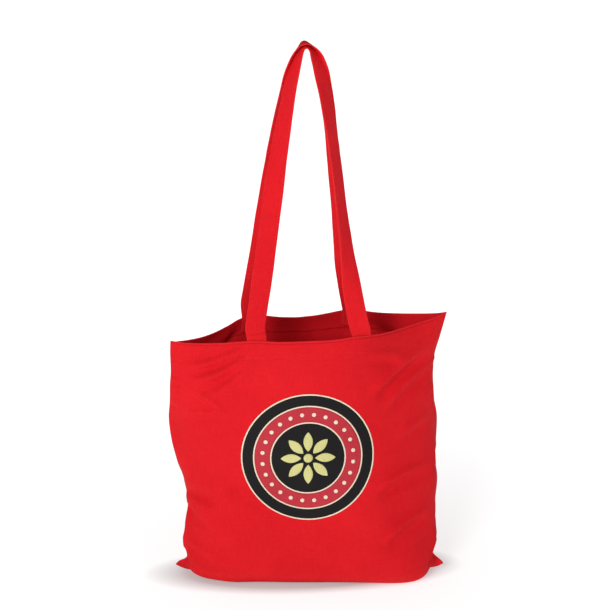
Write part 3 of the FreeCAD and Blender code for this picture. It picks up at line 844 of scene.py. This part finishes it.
def make_seam(node, origin, inward, lean):
    """Two layers of allowance, and the overlock thread that binds their edge."""
    mapper, length = seam_mapper(origin, inward, lean)
    s = np.linspace(0, length, round(length / (2.5 * MM)) + 1)
    half = [(0.6, 1), (2.5, 1), (5, 1), (7.4, 0.95), (8.0, 0.4)]
    around = np.array(half + [(w, -h) for w, h in half[::-1]]) * (MM, ALLOWANCE_HALF)
    ss, ww = np.meshgrid(s, around[:, 0], indexing="ij")
    hh = np.broadcast_to(around[:, 1], ss.shape)
    ww = ww + np.where(ww > 7 * MM, 0.25 * MM * noise(ss, ww, 4 * MM, 1, 77), 0)
    body = kept_inside(sweep_data(mapper(ss, ww, hh), np.stack([ss, ww], -1)))
    bag_piece(f"{node}_allowance", body, cotton, "red_cotton", node, 0.3 * (ww > 7 * MM))

    def row(face_mapper, w, **settings):
        return stitch_data(face_mapper, [(SEAM_END, w), (length - SEAM_END, w)], **settings)

    rows = []
    for face in (1, -1):
        face_mapper = lambda a, b, h, face=face: mapper(a, b, face * (ALLOWANCE_HALF + h))
        rows.append(row(face_mapper, 2.6 * MM, pitch=2.6 * MM))
        for k in range(int((length - 2 * SEAM_END) / ZIGZAG_STEP)):
            start = SEAM_END + k * ZIGZAG_STEP
            rows.append(stitch_data(face_mapper, [(start, 3.2 * MM), (start + 0.9 * MM, 8.3 * MM)],
                                    pitch=9 * MM, gap=0, thread=0.42 * MM, sunk=0.2 * MM))
    edge_mapper = lambda a, b, h: mapper(a, 8.1 * MM + h, b)
    rows.append(row(edge_mapper, 0, pitch=1.5 * MM, gap=0.2 * MM, thread=0.7 * MM, lift=0.05 * MM,
                    sunk=0.2 * MM))
    bag_piece(f"{node}_overlock", kept_inside(merge(rows)), red_thread, "red_thread", node)


def make_seams():
    grids = {side: SURFACE[side]["points"] for side in (FRONT, BACK)}
    low = round(16 * MM / FINE_CELL)
    high = round((FLAT_HEIGHT - HEM_DEPTH - 2 * MM) / FINE_CELL)
    for node, column, step in (("left_side_seam", 0, 4), ("right_side_seam", -1, -5)):
        origin = grids[FRONT][low:high, column]
        inward = sum(unit(grids[side][low:high, step] - origin) for side in (FRONT, BACK))
        inward = unit(smooth_rows(inward, 9))
        make_seam(node, origin + inward * 0.3 * MM, inward, 1.6 * MM)
    inset = round(24 * MM / FINE_CELL)
    u = SURFACE["u"][0, inset:-inset]
    origin = place(BACK, u, 0 * u, INNER - 1 * MM)
    inward = unit(grids[BACK][4, inset:-inset] - grids[BACK][0, inset:-inset])
    make_seam("bottom_seam", origin, inward, 0.2 * MM)


def smooth_rows(rows, width):
    """A running mean along the first axis, with the ends held."""
    reach = width // 2
    padded = np.concatenate([rows[:1]] * reach + [rows] + [rows[-1:]] * reach)
    window = np.ones(width) / width
    return np.stack([np.convolve(column, window, "valid") for column in padded.T], -1)


# ---- the handles ----

# Each leg is one curve: how high its lower bend reaches, how far that leans in, and how far out
# the shoulder at the top reaches. -1 is the left leg and 1 the right one.
LEG_RISE, LEG_LEAN, SHOULDER_REACH = 125 * MM, {-1: 24 * MM, 1: 27 * MM}, {-1: 24 * MM, 1: 34 * MM}
# How far each leg has turned edge on, in degrees, at shares of its height.
TWIST = {
    -1: ((0, 0.3, 0.5, 0.6, 0.7, 0.8, 0.9, 0.96, 1), (0, 4, 16, 30, 43, 55, 58, 70, 90)),
    1: ((0, 0.08, 0.15, 0.22, 0.28, 0.36, 0.45, 0.7, 0.8, 0.9, 0.96, 1),
        (0, 4, 16, 36, 45, 53, 56, 55, 52, 47, 60, 90)),
}
NESTING = 1.3 * MM  # half the distance between the two handles where they lie one on the other
SEWN_DEPTH = 23 * MM
# Half of a strap's section, from edge to middle, in half widths and half thicknesses. The groove
# is where the stitches along the edge pull it in.
GROOVE = (0.79, 0.78)
STRAP_SECTION = [(1.0, 0.0), (0.985, 0.55), (0.95, 0.9), (0.88, 1.0), (0.83, 0.96), GROOVE,
                 (0.75, 0.96), (0.6, 1.03), (0.3, 1.0), (0.0, 0.97)]


def leg_path(side, hand):
    """Centre, width direction and outer face's direction along a leg, from its sewn end up."""
    number = max(hand, 0)
    foot_u, foot_x = SURFACE[side]["feet"][number], strap_feet(side)[number]
    v = np.linspace(FLAT_HEIGHT - SEWN_DEPTH, FLAT_HEIGHT - 1 * MM, 7)
    sewn = place(side, foot_u, v, -STRAP_DEPTH_IN_BAG)
    across = unit(place(side, foot_u + 5 * MM, v, 0.0) - place(side, foot_u - 5 * MM, v, 0.0))
    out = unit(np.cross(across, np.gradient(sewn, axis=0)) * -side)

    hinge = HINGE[f"{SIDE_NAMES[side]}_handle"]
    corners = np.array([(foot_x, HINGE_Z), (foot_x - hand * LEG_LEAN[hand], HINGE_Z + LEG_RISE),
                        (APEX_X + hand * SHOULDER_REACH[hand], APEX_Z), (APEX_X, APEX_Z)])
    t = np.linspace(0, 1, 90)[1:, None]
    r = 1 - t
    weights = (r**3, 3 * r * r * t, 3 * r * t * t, t**3)
    flat = sum(corner * weight for corner, weight in zip(corners, weights))
    share = (flat[:, 1] - HINGE_Z) / (APEX_Z - HINGE_Z)
    y = side * (abs(hinge.y) + (APEX_OFFSET - abs(hinge.y)) * share)
    leg = np.stack([flat[:, 0], y, flat[:, 1]], -1)
    along = unit(np.gradient(leg, axis=0))
    over = unit(np.stack([along[:, 2] * hand, 0 * share, -along[:, 0] * hand], -1))
    leg = leg + over * (side * NESTING * smoothstep(share, 0.5, 0.8))[:, None]
    depth = np.array([0.0, 1, 0])
    sideways = np.cross(np.broadcast_to(depth, along.shape), along) * -hand
    twist = np.radians(np.interp(share, *TWIST[hand]))[:, None]
    width = unit(sideways * np.cos(twist) + depth * side * np.sin(twist))
    face = np.cross(along, width) * -hand
    sign = np.sign(width[0, 0])
    return (np.concatenate([sewn, leg]), np.concatenate([across, width * sign]),
            np.concatenate([out, face * sign]))


def handle_frames(side):
    """Evenly spaced centres, width directions and face directions along a whole handle."""
    joined = []
    for number, (a, b) in enumerate(zip(leg_path(side, -1), leg_path(side, 1))):
        turn = np.sign(np.sum(a[-1] * b[-1])) if number else 1
        joined.append(np.concatenate([a, turn * b[::-1][1:]]))
    marks = distances(joined[0])
    s = np.linspace(0, marks[-1], round(marks[-1] / (2 * MM)) + 1)
    centre, width, face = (sample(s, marks, grid) for grid in joined)
    free = slice(6, -6)  # all but the sewn ends
    for grid in (centre, width, face):
        grid[free] = smooth_rows(grid, 7)[free]
    along = unit(np.gradient(centre, axis=0))
    width = unit(width - along * np.sum(width * along, -1, keepdims=True))
    face = unit(face - along * np.sum(face * along, -1, keepdims=True)
                - width * np.sum(face * width, -1, keepdims=True))
    return s, centre, width, face


def make_handle(side):
    """The strap, one piece from sewn end to sewn end, and the two rows of stitches along it."""
    name = f"{SIDE_NAMES[side]}_handle"
    marks, centre, width, face = handle_frames(side)
    half = STRAP_WIDTH / 2

    def mapper(s, w, h):
        s, w, h = np.broadcast_arrays(s, w, h)
        c, x, f = (sample(s, marks, grid) for grid in (centre, width, face))
        free = smoothstep(np.minimum(s, marks[-1] - s), 30 * MM, 60 * MM)
        ripple = 0.35 * MM * noise(s, w, 16 * MM, 9 * MM, 51 + side)
        ripple = ripple + 0.5 * MM * noise(s, 0 * w, 60 * MM, 1, 57 + side)
        cup = 0.5 * MM * (1 - (w / half)**2) * noise(s, 0 * w, 90 * MM, 1, 61 + side)
        return c + x * w[..., None] + f * (h + (ripple + cup) * free)[..., None]

    top = np.array(STRAP_SECTION)
    upper = np.concatenate([top * (-1, 1), top[::-1][1:]])
    around = np.concatenate([upper, (upper * (1, -1))[::-1][1:-1]])
    ss, ww = np.meshgrid(marks, around[:, 0] * half, indexing="ij")
    hh = np.broadcast_to(around[:, 1] * STRAP_HALF, ss.shape)
    ww = ww * (1 + 0.02 * noise(ss, 0 * ss, 23 * MM, 1, 65 + side))
    wear = 0.3 * smoothstep(np.abs(ww) / half, 0.93, 1.0)
    data = sweep_data(mapper(ss, ww, hh), np.stack([ww + 0.02 * side, ss], -1))
    strap = piece(f"{name}_strap", *data, webbing, "red_webbing", wear)
    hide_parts(name, f"{name}_left_end", f"{name}_right_end")

    rows = []
    for sign in (1, -1):
        on_face = lambda s, w, h, sign=sign: mapper(s, w, sign * (GROOVE[1] * STRAP_HALF + h))
        for hand in (-1, 1):
            w = hand * GROOVE[0] * half
            rows.append(stitch_data(on_face, [(3 * MM, w), (marks[-1] - 3 * MM, w)],
                                    pitch=3.2 * MM, thread=0.5 * MM, lift=0.1 * MM))
    thread = piece(f"{name}_edge_thread", *merge(rows), red_thread, "red_thread")
    for obj in (strap, thread):
        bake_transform(obj)
    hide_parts(name)


# ---- the print ----

BADGE_RADIUS, BADGE_DROP, LINE = 85 * MM, 3 * MM, 1.7 * MM
ROSE_OUTER, ROSE_INNER = 68.3 * MM, 48.4 * MM
DOT_RADIUS, DOT_COUNT = 2.6 * MM, 24
LEAF_START, LEAF_LENGTH, LEAF_BULGE, LEAF_COUNT, BUD_RADIUS = 9 * MM, 26 * MM, 6 * MM, 8, 6 * MM
INK, INK_SUNK = 0.15 * MM, 0.08 * MM  # one layer's thickness, and how far it reaches under it
INK_CELL = 2.5 * MM


def on_front(x, z):
    """Flat coordinates of the points of the front wall at given x and z, found step by step."""
    u, v = FLAT_WIDTH / 2 + x, FLAT_HEIGHT - (MOUTH_Z - z)
    for _ in range(12):
        here = place(FRONT, u, v, 0.0)
        du = place(FRONT, u + 2 * MM, v, 0.0) - here
        dv = place(FRONT, u, v + 2 * MM, 0.0) - here
        off_x, off_z = x - here[..., 0], z - here[..., 2]
        area = du[..., 0] * dv[..., 2] - dv[..., 0] * du[..., 2]
        u = u + 1.6 * MM * (dv[..., 2] * off_x - dv[..., 0] * off_z) / area
        v = v + 1.6 * MM * (du[..., 0] * off_z - du[..., 2] * off_x) / area
    return u, v


def ink_disc(centre, radius, level, inner=0.0):
    """A thin film round a point (x, z) of the front wall: a disc, or a ring where inner is set."""
    rings = max(round((radius - inner) / INK_CELL), 1) + 1
    rays = max(round(2 * math.pi * radius / INK_CELL), 20)
    angles = np.arange(rays) * 2 * math.pi / rays
    radii = np.linspace(radius, max(inner, 0.02 * MM), rings)
    r = np.concatenate([radii, radii[::-1]])[:, None]
    h = np.repeat([(level + 1) * INK, level * INK - INK_SUNK], rings)[:, None] + 0 * angles
    u, v = on_front(centre[0] + r * np.cos(angles), centre[1] + r * np.sin(angles))
    return sweep_data(place(FRONT, u, v, h), np.stack([u, v], -1), closed=True)


def ink_leaf(centre, angle):
    """One pointed leaf of the rosette."""
    t = np.linspace(0, 1, 15)[:, None]
    s = np.linspace(-1, 1, 7)[None, :]
    reach = LEAF_START + t * LEAF_LENGTH + 0 * s
    aside = s * np.maximum(LEAF_BULGE * np.sin(math.pi * t)**0.8, 0.05 * MM)
    u, v = on_front(centre[0] + reach * math.cos(angle) - aside * math.sin(angle),
                    centre[1] + reach * math.sin(angle) + aside * math.cos(angle))
    uv = np.stack([u, v], -1)
    return slab_data(place(FRONT, u, v, 2 * INK), place(FRONT, u, v, INK - INK_SUNK), uv)


def make_print():
    """A black disc with a rose ring, cream lines and dots, and a pale green rosette."""
    low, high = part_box("print_black")
    centre = np.array([0, (low.z + high.z) / 2 - BADGE_DROP])
    middle = (ROSE_OUTER + ROSE_INNER) / 2
    angles = (np.arange(DOT_COUNT) + 0.5) * 2 * math.pi / DOT_COUNT
    dots = [ink_disc(centre + middle * np.array([math.cos(a), math.sin(a)]), DOT_RADIUS, 2)
            for a in angles]
    lines = [ink_disc(centre, outer, 1, outer - LINE)
             for outer in (BADGE_RADIUS, ROSE_OUTER + LINE, ROSE_INNER)]
    leaves = [ink_leaf(centre, k * 2 * math.pi / LEAF_COUNT) for k in range(LEAF_COUNT)]
    layers = [
        ("black", black_ink, ink_disc(centre, BADGE_RADIUS, 0)),
        ("cream", cream_ink, merge(lines + dots)),
        ("rose", rose_ink, ink_disc(centre, ROSE_OUTER, 1, ROSE_INNER)),
        ("green", green_ink, merge(leaves + [ink_disc(centre, BUD_RADIUS, 1)])),
    ]
    for colour, ink, data in layers:
        bag_piece(f"print_{colour}_ink", data, ink, f"{colour}_ink", f"print_{colour}")


# ---- the care label ----

def make_label():
    """A tab of satin tape, caught in the left side seam and folded back on itself."""
    low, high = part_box("care_label")
    height, thick = high.z - low.z, 0.45 * MM
    seam = SURFACE[FRONT]["points"][40:-20, 0]
    z = np.linspace(low.z, high.z, 15)[:, None]
    seam_x, seam_y = (np.interp(z, seam[:, 2], seam[:, k]) for k in (0, 1))
    run = np.concatenate([np.linspace(0, 1, 7), np.linspace(1, 3, 15)[1:]])[None, :]
    start_x = seam_x + 5 * MM
    xx = np.interp(run, (0, 1, 3), (0, low.x, high.x)) + (1 - np.clip(run, 0, 1)) * start_x
    zz = z + 0 * xx
    reach = smoothstep(run, 0, 1.3)
    curl = 1.6 * MM * smoothstep(xx, low.x + 8 * MM, high.x)**2
    curl = curl + 0.5 * MM * np.sin((zz - low.z) / height * 5)
    yy = seam_y * (1 - reach) + curl * smoothstep(xx, low.x, high.x)
    start_x, middle_z = float(np.mean(start_x)), (low.z + high.z) / 2
    uv = np.stack([xx, zz], -1)
    top, bottom = (np.stack([xx, yy + side * thick / 2, zz], -1) for side in (FRONT, BACK))
    tape = piece("care_label_tape", *slab_data(top, bottom, uv), satin, "white_satin")
    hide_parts("care_label")
    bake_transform(tape)


# ---- building ----

finish_surface(simulate_bag())
for side in (FRONT, BACK):
    panel = make_panel(side)
    hem = make_hem(side)
    hem_thread = make_hem_thread(side)
    make_box_threads(side)
    make_handle(side)
make_seams()
make_print()
make_label()


# ---- floor, light and camera ----

FLOOR_REACH = 60  # far enough that its edge can't be seen
# The bag's soft shadow, painted into the floor's glow: where its middle is in y, its half width
# and half depth, how far out it fades, in those, and how bright it is within.
SHADOW_Y, SHADOW_SIZE, SHADOW_FADE, SHADOW_GLOW = -0.012, (0.165, 0.060), (0.95, 1.3), 0.35
AIM = Vector((0, 0, 0.3))
# Each light's place, size in metres and power in watts.
LIGHTS = {
    "key": ((-1.2, -2.55, 1.5), 1.0, 52),
    "fill": ((2.0, -1.8, 0.9), 1.6, 1.2),
    "top": ((-0.4, 0.2, 2.6), 1.4, 2.5),
}
WORLD_STRENGTH = 0.34
VIEW_TARGET, VIEW_DISTANCE = Vector((0, 0, 0.345)), 2.53
VIEW_AZIMUTH, VIEW_ELEVATION = math.radians(-5), math.radians(18.6)


def make_floor():
    """A pale floor whose glow is painted light: it brightens away from the bag and dims close round
    it in a painted shadow.
    """
    corners = [(x * FLOOR_REACH, y * FLOOR_REACH, 0) for x, y in SQUARE]
    mesh = bpy.data.meshes.new("studio_floor")
    mesh.from_pydata(corners, [], [(0, 1, 2, 3)])
    floor = new_object("studio_floor", mesh)
    material = bpy.data.materials.new("pale_floor")
    material.use_nodes = True
    make = node_maker(material.node_tree)
    shader = material.node_tree.nodes["Principled BSDF"]
    looks = {"Base Color": (0.5, 0.5, 0.5, 1), "Roughness": 0.9, "Specular IOR Level": 0.1,
             "Emission Color": (1, 1, 1, 1)}
    for socket, given in looks.items():
        shader.inputs[socket].default_value = given
    spot = make("ShaderNodeNewGeometry").outputs["Position"]
    away = vector_node(make, "LENGTH", spot).outputs["Value"]
    shadow = vector_node(make, "ADD", spot, (0, -SHADOW_Y, 0)).outputs[0]
    scale = (1 / SHADOW_SIZE[0], 1 / SHADOW_SIZE[1], 0)
    shadow = vector_node(make, "MULTIPLY", shadow, scale).outputs[0]
    reach = vector_node(make, "LENGTH", shadow).outputs["Value"]
    # painted light and shadow: the glow is dimmer near the bag and full further out, times a
    # painted shadow round the bag's foot
    painted_glow = math_node(make, "MULTIPLY", remap(make, away, 0.2, 0.9, 0.7, 1.0),
                     remap(make, reach, *SHADOW_FADE, SHADOW_GLOW, 1.0))
    material.node_tree.links.new(painted_glow, shader.inputs["Emission Strength"])
    mesh.materials.append(material)


def make_lights():
    for name, (spot, size, power) in LIGHTS.items():
        light = bpy.data.lights.new(name, "AREA")
        light.shape, light.size, light.energy = "SQUARE", size, power
        obj = new_object(name, light)
        obj.location = spot
        obj.rotation_euler = (AIM - Vector(spot)).to_track_quat("-Z", "Y").to_euler()
    world = bpy.data.worlds.new("studio")
    world.use_nodes = True
    background = world.node_tree.nodes["Background"]
    background.inputs["Color"].default_value = (1, 1, 1, 1)
    background.inputs["Strength"].default_value = WORLD_STRENGTH
    bpy.context.scene.world = world
    bpy.context.scene.view_settings.view_transform = "Standard"


def make_camera():
    """The camera stands a little to the left of the front and looks down on the bag."""
    camera = bpy.data.cameras.new("camera")
    camera.lens, camera.sensor_width = 116.7, 36
    camera.shift_x, camera.shift_y = 0.0025, 0.0238
    obj = new_object("camera", camera)
    level = math.cos(VIEW_ELEVATION)
    away = Vector((math.sin(VIEW_AZIMUTH) * level, -math.cos(VIEW_AZIMUTH) * level,
                   math.sin(VIEW_ELEVATION)))
    obj.location = VIEW_TARGET + away * VIEW_DISTANCE
    obj.rotation_euler = (-away).to_track_quat("-Z", "Y").to_euler()
    bpy.context.scene.camera = obj


make_floor()
make_lights()
make_camera()
